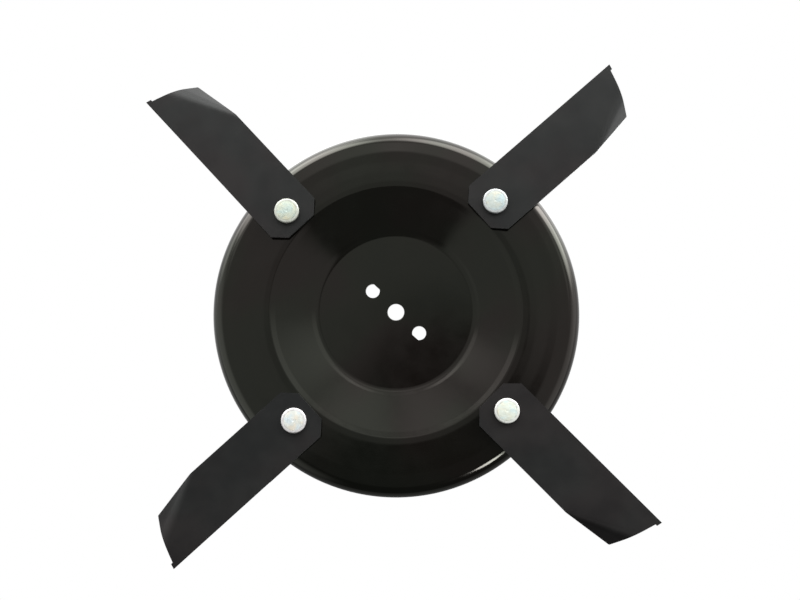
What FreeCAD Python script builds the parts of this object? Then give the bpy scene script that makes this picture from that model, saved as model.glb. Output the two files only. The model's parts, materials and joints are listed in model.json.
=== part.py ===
import FreeCAD, Part
import math
import os

from FreeCAD import Vector

# Swing-blade cutting disc of a walk-behind rotary mower, lying with its ground side up.
# A dished, pressed-steel disc carries four blades, and each blade swings on a bush that
# a domed bolt and a lock nut clamp to the disc's outer ring.
#
# Frame: millimetres. The origin is the centre of the hub bore, on the hub's engine-side
# face. +Z runs along the spin axis towards the ground side, where the bolt heads are.

# ---- Disc ----
SHEET = 3.0            # thickness of the pressed sheet
DISC_R = 157.5         # outer radius
RIM_BEND_R = 12.0      # outer radius of the quarter-round rim
RING_TOP_Z = 13.0      # ground-side face of the outer ring
RING_INNER_R = 108.0   # where the cone meets the ring
HUB_FLAT_R = 68.0      # where the hub's flat meets the cone
CREASE_R = 15.0        # radius of the soft bends either side of the cone
HUB_BORE_R = 7.1
DRIVE_PITCH = 54.0     # distance between the centres of the two drive holes
DRIVE_R = 6.0
DRIVE_FLAT = 5.0       # from a drive hole's centre to its flat side
DRIVE_ANGLE = 135.0    # direction of the first drive hole, in degrees

# ---- Pivots ----
PIVOT_R = 126.2        # radius of the circle that the pivots lie on
PIVOT_ANGLES = [45.0, 135.0, 225.0, 315.0]
REST_SWING = [-6.4, -4.7, -5.5, -2.7]   # each blade's angle from the radial direction

# ---- Blade, laid flat along +X with its pivot at the origin ----
BLADE_T = 4.0
BLADE_HALF_W = 25.0
HEEL_X = -18.0         # inner end
HEEL_CHAMFER = 10.5
SLOPE_X = 93.4         # where the trailing side starts to slope in, seen along Z
CORNER_X = 138.5       # outer trailing corner, seen along Z
CORNER_Y = -18.0
TIP_X = 151.8          # where the end meets the tab
END_BOW = 0.6          # how far the end bows out past a straight line
TAB_X = 154.5          # end of the thin tab that the edge leaves at the leading corner
TAB_W = 4.6
TAB_SLANT = 1.0
EDGE_T = 0.9           # thickness left at the sharpened edge
BEVEL_W = 11.0
BEVEL_START_X = 48.0   # the sharpened length runs from here to the tip

# ---- Wing: the trailing corner is pressed away from the ground side, round a cone ----
FOLD_X = 89.0          # where the fold line leaves the trailing side
FOLD_ANGLE = 29.5      # of the fold line from the blade's length, in degrees
APEX_BACK = 20.0       # from there back along the fold line to the cone's apex
CONE_HALF_ANGLE = 10.0
CONE_TURN = 47.0       # how far the sheet runs round the cone
PATCH_START_X = 80.0   # the pressed patch starts here, where the blade is still flat
PATCH_END_X = 160.0    # and runs past the end, to be trimmed
PATCH_OVERHANG = 24.0  # at that end, past the trailing side
GRID_ALONG = 45        # points of the patch along and across the blade
GRID_ACROSS = 33

# ---- Pivot hardware ----
STEM_R = 5.0           # M10
STEM_CLEARANCE = 0.1   # round the stem, in the bush
BUSH_R = 8.0
BUSH_RUNNING = 0.08    # radial clearance of the blade on its bush
BLADE_FLOAT = 0.25     # axial clearance on each side of the blade
SPACER_R = 12.5
SPACER_T = 2.0
HOLE_R = 5.25          # in the disc, the spacer and the back washer
HEAD_R = 10.6
HEAD_H = 3.8
HEAD_DOME = 0.5        # how much of the head's height is its shallow dome
HEAD_EDGE_R = 1.2
WASHER_R = 10.5
WASHER_T = 2.0
NUT_ACROSS_FLATS = 17.0
NUT_HEX_H = 7.4
NUT_BORE_R = 5.05
NUT_CHAMFER = 1.1
COLLAR_R = 7.6
COLLAR_H = 2.6
COLLAR_WALL = 0.8
INSERT_R_IN = 5.03
STEM_OVERRUN = 2.0     # of the bolt's end beyond the nut
STEM_CHAMFER = 1.0

# ---- Levels along Z that follow from the above ----
RING_BACK_Z = RING_TOP_Z - SHEET
BUSH_BOTTOM_Z = RING_TOP_Z + SPACER_T
BLADE_Z = BUSH_BOTTOM_Z + BLADE_FLOAT
HEAD_Z = BLADE_Z + BLADE_T + BLADE_FLOAT
NUT_TOP_Z = RING_BACK_Z - WASHER_T
NUT_BOTTOM_Z = NUT_TOP_Z - NUT_HEX_H - COLLAR_H
STEM_END_Z = NUT_BOTTOM_Z - STEM_OVERRUN

Z_AXIS = Vector(0, 0, 1)


def on_xz(r, z):
    return Vector(r, 0, z)


def rounded_path(corners, radii):
    """Edges along the corners, with a tangent arc of the given radius at each inner corner."""
    edges = []
    start = corners[0]
    for before, corner, after, radius in zip(corners, corners[1:], corners[2:], radii):
        back = (before - corner).normalize()
        on = (after - corner).normalize()
        half_turn = (math.pi - back.getAngle(on)) / 2
        reach = radius * math.tan(half_turn)
        to_centre = (back + on).normalize() * (radius / math.cos(half_turn))
        middle = corner + to_centre - to_centre * (radius / to_centre.Length)
        arc_start = corner + back * reach
        arc_end = corner + on * reach
        edges.append(Part.makeLine(start, arc_start))
        edges.append(Part.Arc(arc_start, middle, arc_end).toShape())
        start = arc_end
    edges.append(Part.makeLine(start, corners[-1]))
    return edges


def revolved(edges):
    """A turned piece: the closed outline that the edges make, spun about Z."""
    face = Part.Face(Part.Wire(Part.__sortEdges__(edges)))
    return face.revolve(Vector(0, 0, 0), Z_AXIS, 360)


def ring(r_out, r_in, z_low, height):
    outer = Part.makeCylinder(r_out, height, Vector(0, 0, z_low))
    inner = Part.makeCylinder(r_in, height, Vector(0, 0, z_low))
    return outer.cut(inner)


def polar(radius, degrees):
    a = math.radians(degrees)
    return Vector(radius * math.cos(a), radius * math.sin(a), 0)


def drive_hole(angle):
    """The cutter for one D-shaped drive hole, with its flat on the clockwise side."""
    height = 3 * SHEET
    pin = Part.makeCylinder(DRIVE_R, height, Vector(0, 0, -SHEET))
    low_corner = Vector(-DRIVE_R, -DRIVE_FLAT - DRIVE_R, -SHEET)
    beyond_flat = Part.makeBox(2 * DRIVE_R, DRIVE_R, height, low_corner)
    cutter = pin.cut(beyond_flat)
    cutter.rotate(Vector(0, 0, 0), Z_AXIS, angle)
    cutter.translate(polar(DRIVE_PITCH / 2, angle))
    return cutter


def disc():
    """The pressed disc: flat hub, shallow cone, flat ring and quarter-round rim, one sheet thick."""
    slope = math.atan2(RING_TOP_Z - SHEET, RING_INNER_R - HUB_FLAT_R)
    mitre = SHEET * math.tan(slope / 2)
    rim_r = DISC_R - RIM_BEND_R
    rim_z = RING_TOP_Z - RIM_BEND_R
    inner_bend_r = RIM_BEND_R - SHEET
    ground_side = rounded_path(
        [on_xz(HUB_BORE_R, SHEET), on_xz(HUB_FLAT_R, SHEET), on_xz(RING_INNER_R, RING_TOP_Z),
         on_xz(rim_r, RING_TOP_Z)],
        [CREASE_R, CREASE_R + SHEET])
    engine_side = rounded_path(
        [on_xz(HUB_BORE_R, 0), on_xz(HUB_FLAT_R + mitre, 0), on_xz(RING_INNER_R + mitre, RING_BACK_Z),
         on_xz(rim_r, RING_BACK_Z)],
        [CREASE_R + SHEET, CREASE_R])
    middle = math.sqrt(0.5)
    outer_bend = Part.Arc(
        on_xz(rim_r, RING_TOP_Z),
        on_xz(rim_r + RIM_BEND_R * middle, rim_z + RIM_BEND_R * middle),
        on_xz(DISC_R, rim_z)).toShape()
    inner_bend = Part.Arc(
        on_xz(rim_r, RING_BACK_Z),
        on_xz(rim_r + inner_bend_r * middle, rim_z + inner_bend_r * middle),
        on_xz(DISC_R - SHEET, rim_z)).toShape()
    rim_edge = Part.makeLine(on_xz(DISC_R, rim_z), on_xz(DISC_R - SHEET, rim_z))
    bore_wall = Part.makeLine(on_xz(HUB_BORE_R, 0), on_xz(HUB_BORE_R, SHEET))
    shape = revolved(ground_side + engine_side + [outer_bend, inner_bend, rim_edge, bore_wall])
    for angle in (DRIVE_ANGLE, DRIVE_ANGLE + 180):
        shape = shape.cut(drive_hole(angle))
    for angle in PIVOT_ANGLES:
        low = polar(PIVOT_R, angle) + Vector(0, 0, RING_BACK_Z - SHEET)
        shape = shape.cut(Part.makeCylinder(HOLE_R, 3 * SHEET, low))
    return shape


def bent(x, y, above_middle):
    """Where a point of the flat blade goes once the wing is pressed.

    The sheet stays flat up to the fold line, runs round a cone whose apex lies on that line,
    and stays flat again beyond it. above_middle is the height over the sheet's middle."""
    fold = math.radians(FOLD_ANGLE)
    half = math.radians(CONE_HALF_ANGLE)
    apex = Vector(FOLD_X, -BLADE_HALF_W, 0) - Vector(math.cos(fold), math.sin(fold), 0) * APEX_BACK
    away = math.hypot(x - apex.x, y - apex.y)
    past_fold = fold - math.atan2(y - apex.y, x - apex.x)
    if past_fold <= 0:
        return Vector(x, y, above_middle)
    along = Vector(math.cos(fold), math.sin(fold), 0)
    across = Vector(math.sin(fold), -math.cos(fold), 0)
    down = Vector(0, 0, -1)
    turn = min(past_fold / math.sin(half), math.radians(CONE_TURN))
    left_over = past_fold - turn * math.sin(half)
    cone_axis = along * math.cos(half) + down * math.sin(half)
    spin = FreeCAD.Rotation(cone_axis, math.degrees(turn))
    if spin.multVec(along).dot(across) < 0:
        spin = FreeCAD.Rotation(cone_axis, -math.degrees(turn))
    ray = spin.multVec(along) * math.cos(left_over) + spin.multVec(across) * math.sin(left_over)
    return apex + ray * away - spin.multVec(down) * above_middle


def wing_face(above_middle):
    """One side of the pressed patch, which overhangs the finished end and trailing side."""
    rows = []
    for i in range(GRID_ALONG):
        share = i / (GRID_ALONG - 1)
        x = PATCH_START_X + (PATCH_END_X - PATCH_START_X) * share
        y_low = -BLADE_HALF_W - PATCH_OVERHANG * share
        y_high = BLADE_HALF_W - TAB_W
        steps = [j / (GRID_ACROSS - 1) for j in range(GRID_ACROSS)]
        rows.append([bent(x, y_low + (y_high - y_low) * step, above_middle) for step in steps])
    surface = Part.BSplineSurface()
    surface.interpolate(rows)
    return surface


def wing():
    """The pressed patch as a solid, one sheet thick."""
    ground = wing_face(BLADE_T / 2)
    engine = wing_face(-BLADE_T / 2)
    faces = [ground.toShape(), engine.toShape()]
    u0, u1, v0, v1 = ground.bounds()
    borders = [(ground.uIso(u), engine.uIso(u)) for u in (u0, u1)]
    borders += [(ground.vIso(v), engine.vIso(v)) for v in (v0, v1)]
    for upper, lower in borders:
        faces.append(Part.makeRuledSurface(upper.toShape(), lower.toShape()))
    shell = Part.makeCompound(faces)
    shell.sewShape()
    shape = Part.Solid(shell.Shells[0])
    if shape.Volume < 0:
        shape.reverse()
    shape.translate(Vector(0, 0, BLADE_T / 2))
    return shape


def blade_outline():
    """The finished blade's outline, seen along Z."""
    w = BLADE_HALF_W
    heel = HEEL_X + HEEL_CHAMFER
    tab_y = w - TAB_W
    corner = Vector(CORNER_X, CORNER_Y, 0)
    tip = Vector(TIP_X, tab_y, 0)
    outward = (tip - corner).cross(Z_AXIS).normalize()
    bow = (corner + tip) * 0.5 + outward * END_BOW
    rest = [
        tip, Vector(TAB_X - TAB_SLANT, tab_y, 0), Vector(TAB_X, w, 0), Vector(heel, w, 0),
        Vector(HEEL_X, w - HEEL_CHAMFER, 0), Vector(HEEL_X, -w + HEEL_CHAMFER, 0), Vector(heel, -w, 0),
        Vector(SLOPE_X, -w, 0), corner,
    ]
    edges = [Part.makeLine(a, b) for a, b in zip(rest, rest[1:])]
    edges.append(Part.Arc(corner, bow, tip).toShape())
    return Part.Wire(edges)


def blade():
    """One blade on its own axis: flat bar, chamfered heel, pressed wing and ground leading edge."""
    w = BLADE_HALF_W
    tab_y = w - TAB_W
    step = [
        Vector(HEEL_X, -w, 0), Vector(PATCH_START_X, -w, 0), Vector(PATCH_START_X, tab_y, 0),
        Vector(PATCH_END_X, tab_y, 0), Vector(PATCH_END_X, w, 0), Vector(HEEL_X, w, 0),
    ]
    bar = Part.Face(Part.makePolygon(step + [step[0]])).extrude(Vector(0, 0, BLADE_T))
    column = Part.Face(blade_outline()).extrude(Vector(0, 0, 4 * w))
    column.translate(Vector(0, 0, -2 * w))
    shape = bar.common(column).fuse(wing().common(column)).removeSplitter()
    shape = shape.cut(Part.makeCylinder(BUSH_R + BUSH_RUNNING, 3 * BLADE_T, Vector(0, 0, -BLADE_T)))
    return shape.cut(bevel_cutter())


def bevel_cutter():
    """The metal ground off the engine side of the leading edge, which runs out at its inner end."""
    w = BLADE_HALF_W
    overrun = 1.0
    rise = (BLADE_T - EDGE_T) / BEVEL_W
    section = [
        Vector(0, w - BEVEL_W - overrun, -overrun * rise),
        Vector(0, w + overrun, BLADE_T - EDGE_T + overrun * rise),
        Vector(0, w + overrun, -overrun * rise),
    ]
    inner = [p + Vector(BEVEL_START_X, 0, 0) for p in section]
    inner[0] += Vector(BEVEL_W, 0, 0)
    outer = [p + Vector(TAB_X + BEVEL_W, 0, 0) for p in section]
    ends = [Part.makePolygon(p + [p[0]]) for p in (inner, outer)]
    return Part.makeLoft(ends, True, True)


def bolt():
    """M10 bolt with a low round head; its thread is left as a plain stem."""
    top = HEAD_Z + HEAD_H
    shoulder_z = top - HEAD_DOME
    edge_in = HEAD_R - HEAD_EDGE_R
    edge_mid = HEAD_EDGE_R * math.sqrt(0.5)
    edge_low = shoulder_z - HEAD_EDGE_R
    corner = Part.Arc(
        on_xz(HEAD_R, edge_low),
        on_xz(edge_in + edge_mid, edge_low + edge_mid),
        on_xz(edge_in, shoulder_z)).toShape()
    dome_r = (edge_in ** 2 + HEAD_DOME ** 2) / (2 * HEAD_DOME)
    half_r = edge_in / 2
    dome_mid = top - dome_r + math.sqrt(dome_r ** 2 - half_r ** 2)
    dome = Part.Arc(on_xz(edge_in, shoulder_z), on_xz(half_r, dome_mid), on_xz(0, top)).toShape()
    corners = [
        on_xz(0, top), on_xz(0, STEM_END_Z), on_xz(STEM_R - STEM_CHAMFER, STEM_END_Z),
        on_xz(STEM_R, STEM_END_Z + STEM_CHAMFER), on_xz(STEM_R, HEAD_Z), on_xz(HEAD_R, HEAD_Z),
        on_xz(HEAD_R, edge_low),
    ]
    straight = [Part.makeLine(a, b) for a, b in zip(corners, corners[1:])]
    return revolved(straight + [corner, dome])


def lock_nut():
    """Hexagon with both ends chamfered, and a thin collar that holds the nylon insert."""
    corner_r = NUT_ACROSS_FLATS / math.sqrt(3)
    flat_r = NUT_ACROSS_FLATS / 2
    hex_low = NUT_TOP_Z - NUT_HEX_H
    points = [polar(corner_r, 60 * k) + Vector(0, 0, hex_low) for k in range(7)]
    prism = Part.Face(Part.makePolygon(points)).extrude(Vector(0, 0, NUT_HEX_H))
    drop = NUT_CHAMFER / 2
    corners = [
        on_xz(0, hex_low), on_xz(flat_r, hex_low), on_xz(corner_r, hex_low + NUT_CHAMFER),
        on_xz(corner_r, NUT_TOP_Z - drop), on_xz(flat_r, NUT_TOP_Z), on_xz(0, NUT_TOP_Z), on_xz(0, hex_low),
    ]
    envelope = revolved([Part.makeLine(a, b) for a, b in zip(corners, corners[1:])])
    body = prism.common(envelope)
    collar = Part.makeCylinder(COLLAR_R, COLLAR_H, Vector(0, 0, NUT_BOTTOM_Z))
    pocket = Part.makeCylinder(COLLAR_R - COLLAR_WALL, COLLAR_H, Vector(0, 0, NUT_BOTTOM_Z))
    bore = Part.makeCylinder(NUT_BORE_R, NUT_HEX_H + COLLAR_H, Vector(0, 0, NUT_BOTTOM_Z))
    return body.fuse(collar).removeSplitter().cut(pocket).cut(bore)


def nylon_insert():
    return ring(COLLAR_R - COLLAR_WALL, INSERT_R_IN, NUT_BOTTOM_Z, COLLAR_H)


def bush():
    height = HEAD_Z - BUSH_BOTTOM_Z
    return ring(BUSH_R, STEM_R + STEM_CLEARANCE, BUSH_BOTTOM_Z, height)


def washer(r_out, z_low, thickness):
    return ring(r_out, HOLE_R, z_low, thickness)


def export(shape, node):
    assert shape.isValid() and shape.Volume > 0, node
    shape.exportStep(os.path.join("parts", node + ".step"))


def at_pivot(shape, angle, swing=0.0):
    """A copy of a piece modelled about Z, turned and moved to its pivot."""
    placed = shape.copy()
    placed.rotate(Vector(0, 0, 0), Z_AXIS, angle + swing)
    placed.translate(polar(PIVOT_R, angle))
    return placed


def main():
    os.makedirs("parts", exist_ok=True)
    export(disc(), "blade_disc")
    flat_blade = blade()
    flat_blade.translate(Vector(0, 0, BLADE_Z))
    hardware = {
        "pivot_bolt": bolt(),
        "pivot_bush": bush(),
        "spacer_washer": washer(SPACER_R, RING_TOP_Z, SPACER_T),
        "back_washer": washer(WASHER_R, NUT_TOP_Z, WASHER_T),
        "lock_nut": lock_nut(),
        "nylon_insert": nylon_insert(),
    }
    for number, (angle, swing) in enumerate(zip(PIVOT_ANGLES, REST_SWING), start=1):
        export(at_pivot(flat_blade, angle, swing), f"blade_{number}")
        for name, shape in hardware.items():
            export(at_pivot(shape, angle), f"{name}_{number}")


main()
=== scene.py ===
import json
import math

import bmesh
import bpy
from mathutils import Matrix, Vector


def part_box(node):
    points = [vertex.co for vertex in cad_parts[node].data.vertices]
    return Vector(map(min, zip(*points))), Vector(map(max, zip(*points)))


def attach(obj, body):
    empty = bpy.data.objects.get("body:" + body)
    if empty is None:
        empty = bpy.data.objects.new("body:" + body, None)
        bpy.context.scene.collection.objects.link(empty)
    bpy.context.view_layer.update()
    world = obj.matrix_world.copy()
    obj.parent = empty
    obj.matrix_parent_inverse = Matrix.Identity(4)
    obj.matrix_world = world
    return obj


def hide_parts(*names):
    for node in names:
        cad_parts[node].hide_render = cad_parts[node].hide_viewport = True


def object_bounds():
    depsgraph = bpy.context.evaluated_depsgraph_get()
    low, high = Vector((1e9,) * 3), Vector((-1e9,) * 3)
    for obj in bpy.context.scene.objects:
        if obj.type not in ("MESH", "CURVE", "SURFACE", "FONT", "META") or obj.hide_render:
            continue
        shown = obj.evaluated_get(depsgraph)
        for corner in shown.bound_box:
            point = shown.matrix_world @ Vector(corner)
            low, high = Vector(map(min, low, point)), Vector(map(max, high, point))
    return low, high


# Looks of the swing-blade cutting disc, in the CAD model's own frame, in metres.
# +Z is the ground side, with the round bolt heads; the disc lies on its bolt ends.

MM = 0.001

# ---- The pressed disc's section, repeated from the CAD model ----
SHEET = 3.0 * MM
DISC_R = 157.5 * MM
RIM_BEND_R = 12.0 * MM
RING_TOP_Z = 13.0 * MM
RING_INNER_R = 108.0 * MM
HUB_FLAT_R = 68.0 * MM
CREASE_R = 15.0 * MM
HUB_BORE_R = 7.1 * MM
DRIVE_PITCH = 54.0 * MM
DRIVE_R = 6.0 * MM
DRIVE_FLAT = 5.0 * MM
DRIVE_ANGLE = 135.0
PIVOT_HOLE_R = 5.25 * MM
EDGE_ROUND = 0.5 * MM      # broken edge of the rim and of the holes
CUT_LOW = -5.0 * MM        # the cutters of the holes reach past the sheet, from here
CUT_HIGH = 20.0 * MM       # to here
HOLE_STEPS = 48
DISC_SEGMENTS = 360

# ---- What pressing leaves in the sheet, finer than the CAD model shows; angles in degrees ----
HUB_LIP_R = 67.6 * MM      # the cone leaves the hub here, a little steeper than it goes on,
RING_LIP_R = 107.6 * MM    # and meets the ring here in the same way
LIP_WIDTH = 4.6 * MM
LIP_SLOPE = 16.0
LIP_BEND_R = 7.0 * MM
HUB_BEND_R = 16.0 * MM
SHOULDER_R = 113.5 * MM    # the ring still rises a little up to here
SHOULDER_DROP = 0.3 * MM
SHOULDER_BEND_R = 60.0 * MM
CREST_R = 120.5 * MM       # it is very slightly wavy: highest here
CREST_RISE = 0.05 * MM
TROUGH_R = 130.5 * MM      # and lowest here
TROUGH_DROP = 0.08 * MM
WAVE_BEND_R = 150.0 * MM
CHAMFER_R = 139.0 * MM     # from here it slopes down towards the rim's bend
CHAMFER_SLOPE = 4.3
CHAMFER_BEND_R = 40.0 * MM
ROLL_R = 11.8 * MM         # outer radius of the rim's bend
ROLL_START = 2.5           # it begins this far round

# ---- Pivot bolts ----
PIVOT_R = 126.2 * MM
PIVOT_ANGLES = (45.0, 135.0, 225.0, 315.0)
STEM_R = 5.0 * MM
THREAD_PITCH = 1.5 * MM
THREAD_DEPTH = 0.75 * MM
THREAD_LENGTH = 12.0 * MM
THREAD_SEGMENTS = 64
RINGS_PER_TURN = 14        # rings of points along the thread, for each turn of it
STEM_CHAMFER = 1.0 * MM    # at the stem's end
HEAD_FILLET = 0.3 * MM     # at the head's underside
HEAD_EDGE_R = 1.2 * MM
HEAD_DOME = 0.5 * MM
DIMPLE_R = 1.1 * MM
DIMPLE_DEPTH = 0.18 * MM
DOME_STEPS = 24
HEAD_SEGMENTS = 96
HEAD_LINE_R = 8.2 * MM     # a faint turned line on the head
HEAD_RIPPLE = 1.1 * MM     # and finer turned rings, this far apart
# Each head's tint and painted light, for the bolts in the order of their numbers. The last two heads
# are painted brighter, standing in for stronger light falling on them.
HEAD_TINTS_AND_PAINTED_LIGHT = ((0.99, 1.01, 1.02), (0.98, 0.99, 0.90), (1.28, 1.22, 1.24), (1.31, 1.30, 1.25))

# ---- Edges broken on the CAD model's own meshes ----
BLADE_BREAK = 0.35 * MM
HARDWARE_BREAK = 0.2 * MM
BREAK_ANGLE = 30.0         # an edge that turns less than this, in degrees, isn't broken
GROUND_FROM = 10.0 * MM    # the ground bevel lies further than this from the blade's middle line

# ---- Camera: where it stands, how it is turned in degrees, and its lens ----
CAMERA_AT = (0.0133, -0.1142, 1.0063)
CAMERA_TURN = (7.04, 0.85, -2.56)
CAMERA_LENS = 52.86
SENSOR = 36.0

# ---- Studio: each soft light as (azimuth, angle from straight up, radius of its bright
# middle, radius where it ends, strength), the angles in degrees ----
SKY_DARK = 0.09        # a wedge from straight up to the -Y side
SKY_PALE = 0.51        # everywhere else
WEDGE_LEFT = (-0.003, 1.2)     # where each side of the wedge begins, and how far it leans
WEDGE_RIGHT = (0.058, 1.3)
WEDGE_TOP = (0.08, 0.145)      # where it begins and ends to turn pale
SKY_LIGHTS = (
    (36.0, 67.0, 10.0, 25.0, 6.5),
    (62.0, 59.0, 12.0, 29.0, 5.5),
    (40.0, 90.0, 12.0, 30.0, 4.0),
    (120.0, 57.0, 10.0, 26.0, 6.5),
    (122.0, 86.0, 12.0, 30.0, 4.0),
    (144.0, 82.0, 6.0, 20.0, 2.2),
    (90.0, 80.0, 24.0, 48.0, 1.4),
    (75.0, 60.0, 34.0, 46.0, 0.16),
    (195.0, 74.0, 26.0, 52.0, 0.62),
    (-10.0, 76.0, 22.0, 46.0, 0.55),
    (8.0, 78.0, 8.0, 26.0, 0.4),
    (35.0, 31.0, 4.0, 13.0, 0.50),
    (136.0, 33.0, 4.0, 10.5, 0.70),
    (76.0, 22.5, 4.0, 8.0, 0.36),
    (104.0, 22.5, 4.0, 8.0, 0.36),
    (270.0, 16.0, 8.0, 20.0, 0.06),
)
# The floor's glow on the object. It rises towards the +Y side in two steps, each as
# (y where it begins, y where it ends, strength before it, strength after it),
FLOOR_STEPS = ((-0.16, 0.02, 0.25, 0.95), (0.04, 0.16, 0.0, 1.5))
# and it has bright spots, each as (x, y, radius of its middle, radius where it ends, strength)
FLOOR_LIGHTS = (
    (0.19, 0.13, 0.03, 0.12, 2.4),
    (-0.09, 0.20, 0.03, 0.11, 2.0),
)
FLOOR_SIZE = 6.0
# The lamp that draws a line of light along the rim: azimuth and elevation in degrees,
# distance, width and height in metres, power in watts
EDGE_LAMP = (-58.0, 40.0, 1.4, 0.22, 0.42, 3.8)


# =========================== Node helpers ===========================

class Graph:
    """A short way to write a material's or the world's nodes."""

    def __init__(self, owner):
        owner.use_nodes = True
        self.nodes = owner.node_tree.nodes
        self.links = owner.node_tree.links
        self.nodes.clear()

    def node(self, kind, values=None, **settings):
        n = self.nodes.new("ShaderNode" + kind)
        for key, value in settings.items():
            setattr(n, key, value)
        for socket, value in (values or {}).items():
            self.feed(n.inputs[socket], value)
        return n

    def feed(self, socket, value):
        """Links a node's output to the socket, or sets the socket's own value."""
        if isinstance(value, bpy.types.NodeSocket):
            self.links.new(value, socket)
        else:
            socket.default_value = value

    def math(self, operation, *values):
        return self.node("Math", dict(enumerate(values)), operation=operation).outputs[0]

    def vector(self, operation, *values):
        n = self.node("VectorMath", dict(enumerate(values)), operation=operation)
        result = "Value" if operation in ("DOT_PRODUCT", "LENGTH") else "Vector"
        return n.outputs[result]

    def position(self):
        return self.node("TexCoord").outputs["Object"]

    def noise(self, vector, scale, detail=3.0, roughness=0.5, distortion=0.0):
        values = {"Vector": vector, "Scale": scale, "Detail": detail, "Roughness": roughness,
                  "Distortion": distortion}
        return self.node("TexNoise", values).outputs["Fac"]

    def span(self, value, low, high, to_low=0.0, to_high=1.0):
        """Goes smoothly from one result to the other as the value goes from low to high."""
        values = {"Value": value, "From Min": low, "From Max": high, "To Min": to_low, "To Max": to_high}
        return self.node("MapRange", values, interpolation_type="SMOOTHSTEP").outputs["Result"]

    def mix(self, share, first, second, blend="MIX"):
        n = self.node("Mix", data_type="RGBA", blend_type=blend)
        self.feed(n.inputs["Factor"], share)
        colours = [i for i in n.inputs if i.type == "RGBA"]
        self.feed(colours[0], first)
        self.feed(colours[1], second)
        return [o for o in n.outputs if o.type == "RGBA"][0]

    def bump(self, height, distance, strength=1.0, normal=None):
        values = {"Height": height, "Distance": distance, "Strength": strength}
        if normal is not None:
            values["Normal"] = normal
        return self.node("Bump", values).outputs["Normal"]

    def edges(self, radius):
        """1 along the edges of a piece, 0 on its faces."""
        rounded = self.node("Bevel", {"Radius": radius}, samples=4).outputs["Normal"]
        true = self.node("NewGeometry").outputs["Normal"]
        apart = self.math("SUBTRACT", 1.0, self.vector("DOT_PRODUCT", rounded, true))
        return self.span(apart, 0.02, 0.22)

    def finish(self, values):
        shader = self.node("BsdfPrincipled", values)
        out = self.node("OutputMaterial")
        self.links.new(shader.outputs["BSDF"], out.inputs["Surface"])


def rgb(r, g, b):
    return (r, g, b, 1.0)


# =========================== Materials ===========================

def black_enamel():
    """Thick gloss enamel on a pressed steel sheet, with faint orange peel and a little dust."""
    material = bpy.data.materials.new("black_enamel")
    g = Graph(material)
    place = g.position()
    cloud = g.noise(place, 9.0, detail=2.0)
    speck = g.span(g.noise(place, 900.0, detail=2.0), 0.70, 0.80)
    haze = g.span(g.noise(place, 26.0, detail=4.0, roughness=0.6), 0.40, 0.75)
    tone = g.mix(g.span(cloud, 0.35, 0.65), rgb(0.0004, 0.0006, 0.0003), rgb(0.0012, 0.0007, 0.0005))
    tone = g.mix(g.math("MULTIPLY", haze, 0.04), tone, rgb(0.010, 0.010, 0.009))
    tone = g.mix(g.math("MULTIPLY", speck, 0.08), tone, rgb(0.03, 0.03, 0.027))
    worn = g.math("MULTIPLY", g.edges(0.7 * MM), g.span(g.noise(place, 160.0), 0.42, 0.66))
    tone = g.mix(g.math("MULTIPLY", worn, 0.35), tone, rgb(0.07, 0.07, 0.066))
    rough = g.span(g.noise(place, 55.0, detail=5.0, roughness=0.6), 0.3, 0.7, 0.09, 0.14)
    rough = g.math("ADD", rough, g.math("MULTIPLY", worn, 0.15))
    wave = g.bump(g.noise(place, 28.0, detail=1.0), 0.10 * MM, 0.5)
    peel = g.bump(g.noise(place, 420.0, detail=1.0), 0.002 * MM, 0.4, wave)
    gloss = g.mix(g.span(cloud, 0.47, 0.63), rgb(0.97, 1.0, 0.86), rgb(1.0, 0.93, 0.86))
    g.finish({"Base Color": tone, "Roughness": rough, "Normal": peel, "IOR": 1.5, "Specular Tint": gloss})
    return material


def blade_black():
    """Thin satin black on rolled flat bar."""
    material = bpy.data.materials.new("blade_black")
    g = Graph(material)
    place = g.position()
    cloud = g.noise(place, 30.0, detail=4.0, roughness=0.6)
    grain = g.noise(place, 1500.0, detail=2.0)
    tone = g.mix(g.span(cloud, 0.3, 0.7), rgb(0.0010, 0.0011, 0.0012), rgb(0.0022, 0.0021, 0.0020))
    tone = g.mix(g.math("MULTIPLY", g.span(grain, 0.55, 0.8), 0.25), tone, rgb(0.008, 0.008, 0.0082))
    worn = g.math("MULTIPLY", g.edges(0.35 * MM), g.span(g.noise(place, 90.0), 0.40, 0.70))
    tone = g.mix(g.math("MULTIPLY", worn, 0.45), tone, rgb(0.06, 0.06, 0.058))
    rough = g.span(cloud, 0.3, 0.7, 0.42, 0.49)
    rough = g.math("SUBTRACT", rough, g.math("MULTIPLY", worn, 0.12))
    coarse = g.bump(g.noise(place, 240.0, detail=3.0), 0.02 * MM, 0.5)
    fine = g.bump(grain, 0.008 * MM, 0.5, coarse)
    drift = g.span(g.noise(place, 14.0, detail=2.0), 0.40, 0.62)
    gloss = g.mix(drift, rgb(0.97, 1.0, 0.98), rgb(1.0, 0.93, 0.92))
    g.finish({"Base Color": tone, "Roughness": rough, "Normal": fine, "IOR": 1.36, "Specular Tint": gloss})
    return material


def ground_edge():
    """The sharpened bevel: thin black over fine grinding marks."""
    material = bpy.data.materials.new("ground_edge")
    g = Graph(material)
    place = g.position()
    marks = g.noise(g.vector("MULTIPLY", place, (1.0, 1.0, 0.02)), 2600.0, detail=3.0)
    cloud = g.noise(place, 60.0, detail=4.0)
    tone = g.mix(g.span(cloud, 0.35, 0.65), rgb(0.060, 0.060, 0.062), rgb(0.115, 0.115, 0.112))
    tone = g.mix(g.math("MULTIPLY", g.span(marks, 0.4, 0.7), 0.4), tone, rgb(0.19, 0.19, 0.185))
    rough = g.span(marks, 0.3, 0.7, 0.34, 0.5)
    normal = g.bump(marks, 0.02 * MM, 0.6)
    g.finish({"Base Color": tone, "Metallic": 0.85, "Roughness": rough, "Normal": normal})
    return material


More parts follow.
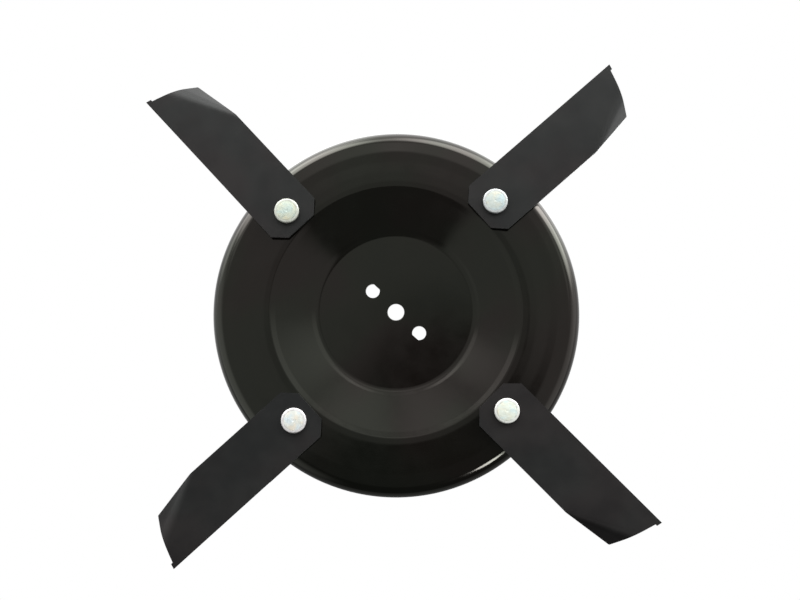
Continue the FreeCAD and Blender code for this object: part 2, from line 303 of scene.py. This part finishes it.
def zinc_plate(name, centre=None, tint_and_painted_light=(1.0, 1.0, 1.0)):
    """Zinc plate with a faint rainbow tint. A bolt's head, at a centre, also has turned rings. The colour
    is multiplied by a given tint, which on some heads also paints light on them.
    """
    material = bpy.data.materials.new(name)
    g = Graph(material)
    place = g.position()
    tint = g.noise(place, 130.0, detail=2.0, distortion=0.4)
    blotch = g.noise(place, 420.0, detail=3.0)
    tone = g.mix(g.span(tint, 0.36, 0.50), rgb(0.39, 0.46, 0.46), rgb(0.43, 0.465, 0.425))
    tone = g.mix(g.span(tint, 0.52, 0.66), tone, rgb(0.475, 0.465, 0.385))
    tone = g.mix(g.math("MULTIPLY", g.span(blotch, 0.5, 0.75), 0.25), tone, rgb(0.33, 0.35, 0.35))
    worn = g.edges(0.5 * MM)
    tone = g.mix(g.math("MULTIPLY", worn, 0.35), tone, rgb(0.52, 0.53, 0.53))
    rough = g.span(blotch, 0.3, 0.7, 0.36, 0.50)
    normal = g.bump(blotch, 0.015 * MM, 0.5)
    if centre is not None:
        tone, normal = turned_rings(g, place, centre, tone, normal)
    # Multiplies the colour by the head's tint and painted light, which brightens some heads as if more
    # strongly lit
    tone = g.mix(1.0, tone, rgb(*tint_and_painted_light), "MULTIPLY")
    g.finish({"Base Color": tone, "Metallic": 0.55, "Roughness": rough, "Normal": normal})
    return material


def turned_rings(g, place, centre, tone, normal):
    """Adds a bolt head's fine turned rings, its line near the edge and its paler band outside that."""
    flat = g.vector("MULTIPLY", g.vector("SUBTRACT", place, centre), (1.0, 1.0, 0.0))
    away = g.vector("LENGTH", flat)
    fade = g.span(g.noise(place, 260.0), 0.35, 0.60)
    from_line = g.math("ABSOLUTE", g.math("SUBTRACT", away, HEAD_LINE_R))
    line = g.math("MULTIPLY", g.span(from_line, 0.55 * MM, 0.10 * MM), fade)
    ripple = g.math("SINE", g.math("MULTIPLY", away, 2.0 * math.pi / HEAD_RIPPLE))
    crest = g.math("MULTIPLY", g.span(ripple, 0.2, 1.0), g.math("MULTIPLY", fade, 0.12))
    tone = g.mix(g.span(away, HEAD_LINE_R, HEAD_LINE_R + 0.5 * MM), tone, rgb(0.41, 0.42, 0.41))
    tone = g.mix(g.math("MULTIPLY", line, 0.55), tone, rgb(0.20, 0.22, 0.21))
    tone = g.mix(crest, tone, rgb(0.30, 0.31, 0.31))
    normal = g.bump(g.math("MULTIPLY", ripple, fade), 0.012 * MM, 0.5, normal)
    return tone, g.bump(line, -0.05 * MM, 0.6, normal)


def turned_steel():
    """Bare steel with fine lathe marks round it."""
    material = bpy.data.materials.new("turned_steel")
    g = Graph(material)
    place = g.position()
    marks = g.noise(g.vector("MULTIPLY", place, (1.0, 1.0, 20.0)), 300.0, detail=3.0)
    tone = g.mix(g.span(marks, 0.3, 0.7), rgb(0.42, 0.42, 0.43), rgb(0.56, 0.56, 0.56))
    rough = g.span(marks, 0.3, 0.7, 0.28, 0.42)
    normal = g.bump(marks, 0.01 * MM, 0.5)
    g.finish({"Base Color": tone, "Metallic": 1.0, "Roughness": rough, "Normal": normal})
    return material


def nylon():
    """Pale, faintly blue nylon."""
    material = bpy.data.materials.new("nylon")
    g = Graph(material)
    place = g.position()
    cloud = g.noise(place, 300.0, detail=3.0)
    tone = g.mix(g.span(cloud, 0.3, 0.7), rgb(0.62, 0.66, 0.70), rgb(0.74, 0.77, 0.79))
    rough = g.span(cloud, 0.3, 0.7, 0.42, 0.58)
    g.finish({"Base Color": tone, "Roughness": rough, "Normal": g.bump(cloud, 0.02 * MM, 0.5)})
    return material


# =========================== Mesh helpers ===========================

def arc(centre, radius, start, end, steps):
    """Points of a section's arc, as (r, z), from one angle to another in degrees."""
    angles = [math.radians(start + (end - start) * k / steps) for k in range(steps + 1)]
    return [(centre[0] + radius * math.cos(a), centre[1] + radius * math.sin(a)) for a in angles]


def rounded_corners(points, radii, steps):
    """The (r, z) path with each inner corner rounded to its radius."""
    path = [points[0]]
    for before, corner, after, radius in zip(points, points[1:], points[2:], radii):
        c = Vector(corner)
        back = (Vector(before) - c).normalized()
        on = (Vector(after) - c).normalized()
        half_turn = (math.pi - back.angle(on)) / 2
        to_centre = (back + on).normalized() * (radius / math.cos(half_turn))
        start = -(to_centre - back * radius * math.tan(half_turn))
        turn = back.angle_signed(on)
        sweep = math.copysign(2 * half_turn, turn)
        for k in range(steps + 1):
            a = sweep * k / steps
            x = start.x * math.cos(a) - start.y * math.sin(a)
            y = start.x * math.sin(a) + start.y * math.cos(a)
            path.append((c.x + to_centre.x + x, c.y + to_centre.y + y))
    path.append(points[-1])
    return path


def with_supports(path, gap=0.3 * MM, stride=9 * MM):
    """The path with points added near both ends of each long run and along it, to keep it flat."""
    result = [path[0]]
    for start, end in zip(path, path[1:]):
        run = Vector(end) - Vector(start)
        if run.length > 4 * gap:
            steps = max(1, round(run.length / stride))
            shares = [gap / run.length] + [k / steps for k in range(1, steps)] + [1 - gap / run.length]
            result += [tuple(Vector(start) + run * share) for share in shares]
        result.append(end)
    return result


def spun(name, section, segments, centre=(0.0, 0.0), closed=True):
    """A turned piece: the (r, z) section spun about a vertical axis; r = 0 makes a pole."""
    mesh = bmesh.new()
    rings = []
    for r, z in section:
        if r < 1e-7:
            rings.append([mesh.verts.new((centre[0], centre[1], z))])
            continue
        turns = [2 * math.pi * k / segments for k in range(segments)]
        places = [(centre[0] + r * math.cos(a), centre[1] + r * math.sin(a), z) for a in turns]
        rings.append([mesh.verts.new(place) for place in places])
    pairs = list(zip(rings, rings[1:]))
    if closed:
        pairs.append((rings[-1], rings[0]))
    for low, high in pairs:
        for k in range(segments):
            n = (k + 1) % segments
            corners = [low[k % len(low)], low[n % len(low)], high[n % len(high)], high[k % len(high)]]
            unique = list(dict.fromkeys(corners))
            if len(unique) > 2:
                mesh.faces.new(unique)
    bmesh.ops.recalc_face_normals(mesh, faces=mesh.faces)
    return piece(name, mesh)


def piece(name, mesh):
    """Makes the finished mesh an object, shaded smooth."""
    data = bpy.data.meshes.new(name)
    mesh.to_mesh(data)
    mesh.free()
    thing = bpy.data.objects.new(name, data)
    bpy.context.scene.collection.objects.link(thing)
    for face in data.polygons:
        face.use_smooth = True
    return thing


def apply_modifiers(thing):
    """Takes the modifiers' result as the object's own mesh."""
    evaluated = thing.evaluated_get(bpy.context.evaluated_depsgraph_get())
    finished = bpy.data.meshes.new_from_object(evaluated)
    thing.modifiers.clear()
    thing.data = finished


def smooth_by_angle(thing, degrees):
    """Smooth shading with hard edges wherever two faces meet at more than the angle."""
    data = thing.data
    mesh = bmesh.new()
    mesh.from_mesh(data)
    for edge in mesh.edges:
        sharp = len(edge.link_faces) == 2 and edge.calc_face_angle(0.0) > math.radians(degrees)
        edge.smooth = not sharp
    mesh.to_mesh(data)
    mesh.free()
    for face in data.polygons:
        face.use_smooth = True


# =========================== The object ===========================

def polar(radius, degrees):
    """The (x, y) at a radius and an angle."""
    a = math.radians(degrees)
    return (radius * math.cos(a), radius * math.sin(a))


def hole_cutter(name, outline, low, high):
    """An upright prism over a flat outline, to cut a hole with."""
    mesh = bmesh.new()
    bottom = [mesh.verts.new((x, y, low)) for x, y in outline]
    top = [mesh.verts.new((x, y, high)) for x, y in outline]
    mesh.faces.new(bottom)
    mesh.faces.new(top)
    for k in range(len(outline)):
        n = (k + 1) % len(outline)
        mesh.faces.new((bottom[k], bottom[n], top[n], top[k]))
    bmesh.ops.recalc_face_normals(mesh, faces=mesh.faces)
    return piece(name, mesh)


def drive_outline(angle):
    """A drive hole's D-shaped outline."""
    cx, cy = polar(DRIVE_PITCH / 2, angle)
    reach = math.degrees(math.asin(DRIVE_FLAT / DRIVE_R))
    outline = []
    for k in range(HOLE_STEPS + 1):
        x, y = polar(DRIVE_R, angle - reach + (180 + 2 * reach) * k / HOLE_STEPS)
        outline.append((cx + x, cy + y))
    return outline


def disc_section():
    """The pressed sheet's section as a closed (r, z) path, with its edges slightly broken."""
    slope = math.atan2(RING_TOP_Z - SHEET, RING_INNER_R - HUB_FLAT_R)
    mitre = SHEET * math.tan(slope / 2)
    rim_z = RING_TOP_Z - RIM_BEND_R
    roll_r = DISC_R - ROLL_R
    start = math.radians(ROLL_START)
    fall = math.tan(math.radians(CHAMFER_SLOPE))
    join_r = roll_r + ROLL_R * math.sin(start)
    join = (join_r, RING_TOP_Z - (join_r - CHAMFER_R) * fall)
    roll_z = join[1] - ROLL_R * math.cos(start)
    inner_r = ROLL_R - SHEET
    inner_join = (roll_r + inner_r * math.sin(start), roll_z + inner_r * math.cos(start))
    e = EDGE_ROUND
    end = math.degrees(math.asin((rim_z + e - roll_z) / ROLL_R))
    lip = math.tan(math.radians(LIP_SLOPE)) * LIP_WIDTH
    lip_top = RING_TOP_Z - SHOULDER_DROP
    ground = rounded_corners(
        [(HUB_BORE_R + e, SHEET), (HUB_LIP_R, SHEET), (HUB_LIP_R + LIP_WIDTH, SHEET + lip),
         (RING_LIP_R - LIP_WIDTH, lip_top - lip), (RING_LIP_R, lip_top), (SHOULDER_R, RING_TOP_Z),
         (CREST_R, RING_TOP_Z + CREST_RISE), (TROUGH_R, RING_TOP_Z - TROUGH_DROP),
         (CHAMFER_R, RING_TOP_Z), join],
        [HUB_BEND_R, CREASE_R, CREASE_R, LIP_BEND_R, SHOULDER_BEND_R, WAVE_BEND_R, WAVE_BEND_R,
         CHAMFER_BEND_R], 8)
    engine = rounded_corners(
        [(HUB_BORE_R + e, 0.0), (HUB_FLAT_R + mitre, 0.0), (RING_INNER_R + mitre, RING_TOP_Z - SHEET),
         (CHAMFER_R, RING_TOP_Z - SHEET), inner_join],
        [CREASE_R + SHEET, CREASE_R, CHAMFER_BEND_R], 10)
    outer = arc((roll_r, roll_z), ROLL_R, 90 - ROLL_START, end, 28)[1:]
    edge = arc((DISC_R - e, rim_z + e), e, 0, -90, 4)
    edge += arc((DISC_R - SHEET + e, rim_z + e), e, -90, -180, 4)
    inner = arc((roll_r, roll_z), inner_r, end + 2, 90 - ROLL_START, 20)[:-1]
    bore = arc((HUB_BORE_R + e, e), e, -90, -180, 4)[1:]
    bore += arc((HUB_BORE_R + e, SHEET - e), e, 180, 90, 4)[:-1]
    return with_supports(ground) + outer + edge + inner + with_supports(engine[::-1]) + bore


def add_disc(material):
    """The pressed disc with its drive and pivot holes, in place of the CAD's plainer one."""
    disc = spun("pressed_disc", disc_section(), DISC_SEGMENTS)
    outlines = [drive_outline(DRIVE_ANGLE), drive_outline(DRIVE_ANGLE + 180)]
    for angle in PIVOT_ANGLES:
        cx, cy = polar(PIVOT_R, angle)
        ring = [polar(PIVOT_HOLE_R, 360 / HOLE_STEPS * k) for k in range(HOLE_STEPS)]
        outlines.append([(cx + x, cy + y) for x, y in ring])
    for outline in outlines:
        cutter = hole_cutter("cutter", outline, CUT_LOW, CUT_HIGH)
        cut = disc.modifiers.new("hole", "BOOLEAN")
        cut.operation = "DIFFERENCE"
        cut.solver = "EXACT"
        cut.object = cutter
        apply_modifiers(disc)
        bpy.data.objects.remove(cutter)
    smooth_by_angle(disc, 35)
    disc.data.materials.clear()
    disc.data.materials.append(material)
    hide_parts("blade_disc")
    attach(disc, "rotor_disc")


def head_section(top, low, radius):
    """The head's upper face, from its centre dimple over the low dome to its underside."""
    shoulder = top - HEAD_DOME
    flat = radius - HEAD_EDGE_R
    dome_r = (flat ** 2 + HEAD_DOME ** 2) / (2 * HEAD_DOME)
    section = []
    for k in range(DOME_STEPS + 1):
        r = flat * (k / DOME_STEPS) ** 0.8
        z = top - dome_r + math.sqrt(dome_r ** 2 - r ** 2)
        section.append((r, z - DIMPLE_DEPTH * math.exp(-(r / DIMPLE_R) ** 2 * 2)))
    section += arc((flat, shoulder - HEAD_EDGE_R), HEAD_EDGE_R, 84, 0, 8)
    section += arc((radius - HEAD_FILLET, low + HEAD_FILLET), HEAD_FILLET, 0, -90, 4)
    return section


def thread(name, centre, top, end):
    """A stem's thread, cut in a helix from its top to the stem's chamfered end."""
    count = int(THREAD_LENGTH / THREAD_PITCH * RINGS_PER_TURN)
    mesh = bmesh.new()
    rings = []
    for j in range(count + 1):
        z = top - THREAD_LENGTH * j / count
        run_in = min(1.0, (top - z) / THREAD_PITCH)
        limit = STEM_R - max(0.0, STEM_CHAMFER - (z - end))
        ring = []
        for k in range(THREAD_SEGMENTS):
            turn = k / THREAD_SEGMENTS
            phase = (z / THREAD_PITCH - turn) % 1.0
            groove = 1 - abs(2 * phase - 1)
            groove = min(1.0, max(0.0, 1.25 * groove - 0.125))
            r = min(STEM_R - THREAD_DEPTH * groove * run_in, limit)
            x, y = polar(r, 360 * turn)
            ring.append(mesh.verts.new((centre[0] + x, centre[1] + y, z)))
        rings.append(ring)
    for upper, lower in zip(rings, rings[1:]):
        for k in range(THREAD_SEGMENTS):
            n = (k + 1) % THREAD_SEGMENTS
            mesh.faces.new((upper[k], lower[k], lower[n], upper[n]))
    mesh.faces.new(rings[-1])
    bmesh.ops.recalc_face_normals(mesh, faces=mesh.faces)
    thing = piece(name, mesh)
    smooth_by_angle(thing, 50)
    return thing


def add_bolt(number, material):
    """A round-headed bolt with a real helical thread on its last stretch."""
    node = f"pivot_bolt_{number}"
    low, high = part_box(node)
    centre = polar(PIVOT_R, PIVOT_ANGLES[number - 1])
    radius = (high.x - low.x) / 2
    head_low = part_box(f"pivot_bush_{number}")[1].z
    section = head_section(high.z, head_low, radius)
    plain_end = low.z + THREAD_LENGTH
    section += [(STEM_R + HEAD_FILLET, head_low), (STEM_R, head_low - HEAD_FILLET), (STEM_R, plain_end)]
    head = spun(f"bolt_head_{number}", section, HEAD_SEGMENTS, centre, closed=False)
    cut = thread(f"bolt_thread_{number}", centre, plain_end, low.z)
    for thing in (head, cut):
        thing.data.materials.append(material)
        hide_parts(node)
        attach(thing, "rotor_disc")


def dress(node, material, bevel=0.0):
    """Gives a CAD node its material, and breaks its edges by a bevel's width."""
    thing = frame["nodes"][node]
    thing.data.materials.clear()
    thing.data.materials.append(material)
    for face in thing.data.polygons:
        face.use_smooth = True
    if bevel:
        cut = thing.modifiers.new("broken_edges", "BEVEL")
        cut.width = bevel
        cut.segments = 2
        cut.limit_method = "ANGLE"
        cut.angle_limit = math.radians(BREAK_ANGLE)
        cut.harden_normals = True
    return thing


def dress_blade(number, black, bare):
    """Satin black all over, and grinding marks on the sharpened bevel."""
    thing = dress(f"blade_{number}", black, BLADE_BREAK)
    thing.data.materials.append(bare)
    swing = frame["joints"][number - 1]
    pivot = Vector(swing["pos_m"])
    from_radial = -sum(swing["range_deg"]) / 2
    leading = Vector((*polar(1.0, PIVOT_ANGLES[number - 1] + from_radial + 90.0), 0.0))
    for face in thing.data.polygons:
        tilted = 0.1 < face.normal.dot(leading) < 0.6 and face.normal.z < -0.5
        near_edge = (face.center - pivot).dot(leading) > GROUND_FROM
        face.material_index = 1 if tilted and near_edge else 0


def dress_hardware(number, zinc, steel, insert):
    """The pieces that a blade's bolt holds together."""
    dress(f"pivot_bush_{number}", steel)
    for name in ("spacer_washer", "back_washer", "lock_nut"):
        dress(f"{name}_{number}", zinc, HARDWARE_BREAK)
    dress(f"nylon_insert_{number}", insert)


# =========================== Floor, light and camera ===========================

def add_floor(height):
    """A plain pale floor, which lights the object softly from below and is clear from there."""
    mesh = bmesh.new()
    half = FLOOR_SIZE / 2
    corners = ((-half, -half), (half, -half), (half, half), (-half, half))
    mesh.faces.new([mesh.verts.new((x, y, height)) for x, y in corners])
    floor = piece("floor", mesh)
    material = bpy.data.materials.new("floor")
    g = Graph(material)
    seen = g.node("LightPath").outputs["Is Camera Ray"]
    along = g.node("SeparateXYZ", {"Vector": g.position()}).outputs["Y"]
    lit = g.math("ADD", *[g.span(along, *step) for step in FLOOR_STEPS])
    for x, y, inner, outer, added in FLOOR_LIGHTS:
        away = g.vector("LENGTH", g.vector("SUBTRACT", g.position(), (x, y, height)))
        lit = g.math("ADD", lit, g.span(away, outer, inner, 0.0, added))
    strength = g.math("ADD", g.math("MULTIPLY", seen, g.math("SUBTRACT", 1.0, lit)), lit)
    glow = g.node("Emission", {"Color": rgb(1.0, 1.0, 1.0), "Strength": strength})
    clear = g.node("BsdfTransparent")
    behind = g.node("NewGeometry").outputs["Backfacing"]
    both = g.node("MixShader", {0: behind, 1: glow.outputs[0], 2: clear.outputs[0]})
    out = g.node("OutputMaterial")
    g.links.new(both.outputs[0], out.inputs["Surface"])
    floor.data.materials.append(material)


def add_sky():
    """Soft studio light from all round, strongest from behind the object."""
    world = bpy.data.worlds.new("studio")
    bpy.context.scene.world = world
    g = Graph(world)
    towards = g.node("TexCoord").outputs["Generated"]
    axes = g.node("SeparateXYZ", {"Vector": towards}).outputs
    left = g.math("MAXIMUM", g.math("SUBTRACT", WEDGE_LEFT[0], axes["X"]), 0.0)
    right = g.math("MAXIMUM", g.math("SUBTRACT", axes["X"], WEDGE_RIGHT[0]), 0.0)
    key = g.math("MULTIPLY_ADD", left, WEDGE_LEFT[1], axes["Y"])
    key = g.math("MULTIPLY_ADD", right, WEDGE_RIGHT[1], key)
    total = g.span(key, *WEDGE_TOP, SKY_DARK, SKY_PALE)
    for azimuth, down, inner, outer, strength in SKY_LIGHTS:
        x, y = polar(math.sin(math.radians(down)), azimuth)
        aim = (x, y, math.cos(math.radians(down)))
        near = g.vector("DOT_PRODUCT", towards, aim)
        limits = (math.cos(math.radians(outer)), math.cos(math.radians(inner)))
        total = g.math("ADD", total, g.span(near, *limits, 0.0, strength))
    seen = g.node("LightPath").outputs["Is Camera Ray"]
    shown = g.mix(seen, total, rgb(1.0, 1.0, 1.0))
    light = g.node("Background", {"Color": shown, "Strength": 1.0})
    out = g.node("OutputWorld")
    g.links.new(light.outputs[0], out.inputs["Surface"])


def add_lamp(name, azimuth, elevation, distance, width, height, power):
    """A small soft lamp aimed at the origin."""
    data = bpy.data.lights.new(name, "AREA")
    data.shape = "ELLIPSE"
    data.size = width
    data.size_y = height
    data.energy = power
    lamp = bpy.data.objects.new(name, data)
    x, y = polar(distance * math.cos(math.radians(elevation)), azimuth)
    lamp.location = (x, y, distance * math.sin(math.radians(elevation)))
    lamp.rotation_euler = (-lamp.location).to_track_quat("-Z", "Y").to_euler()
    bpy.context.scene.collection.objects.link(lamp)


def add_camera():
    """The camera, above the ground side and a little to one side of it."""
    data = bpy.data.cameras.new("camera")
    data.sensor_width = SENSOR
    data.lens = CAMERA_LENS
    data.clip_start = 0.01
    camera = bpy.data.objects.new("camera", data)
    camera.location = CAMERA_AT
    camera.rotation_euler = [math.radians(a) for a in CAMERA_TURN]
    bpy.context.scene.collection.objects.link(camera)
    bpy.context.scene.camera = camera


# =========================== The scene ===========================

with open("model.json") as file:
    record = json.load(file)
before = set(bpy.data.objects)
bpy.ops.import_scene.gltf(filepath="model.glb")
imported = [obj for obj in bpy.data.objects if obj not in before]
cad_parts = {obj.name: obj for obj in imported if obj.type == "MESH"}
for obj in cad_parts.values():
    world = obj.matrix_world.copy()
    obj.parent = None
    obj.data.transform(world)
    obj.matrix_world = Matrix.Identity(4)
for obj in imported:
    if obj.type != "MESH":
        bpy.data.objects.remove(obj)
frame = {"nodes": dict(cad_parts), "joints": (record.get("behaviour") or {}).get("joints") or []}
cad_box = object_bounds()

add_disc(black_enamel())
black = blade_black()
bare = ground_edge()
zinc = zinc_plate("zinc_plate")
steel = turned_steel()
insert = nylon()
for number, angle in enumerate(PIVOT_ANGLES, start=1):
    head_centre = (*polar(PIVOT_R, angle), 0.0)
    # Each head gets its own tint and painted light
    add_bolt(number, zinc_plate(f"zinc_head_{number}", head_centre, HEAD_TINTS_AND_PAINTED_LIGHT[number - 1]))
    dress_blade(number, black, bare)
    dress_hardware(number, zinc, steel, insert)

add_floor(cad_box[0][2])
add_sky()
add_lamp("edge_lamp", *EDGE_LAMP)
add_camera()
bpy.context.scene.view_settings.view_transform = "Standard"
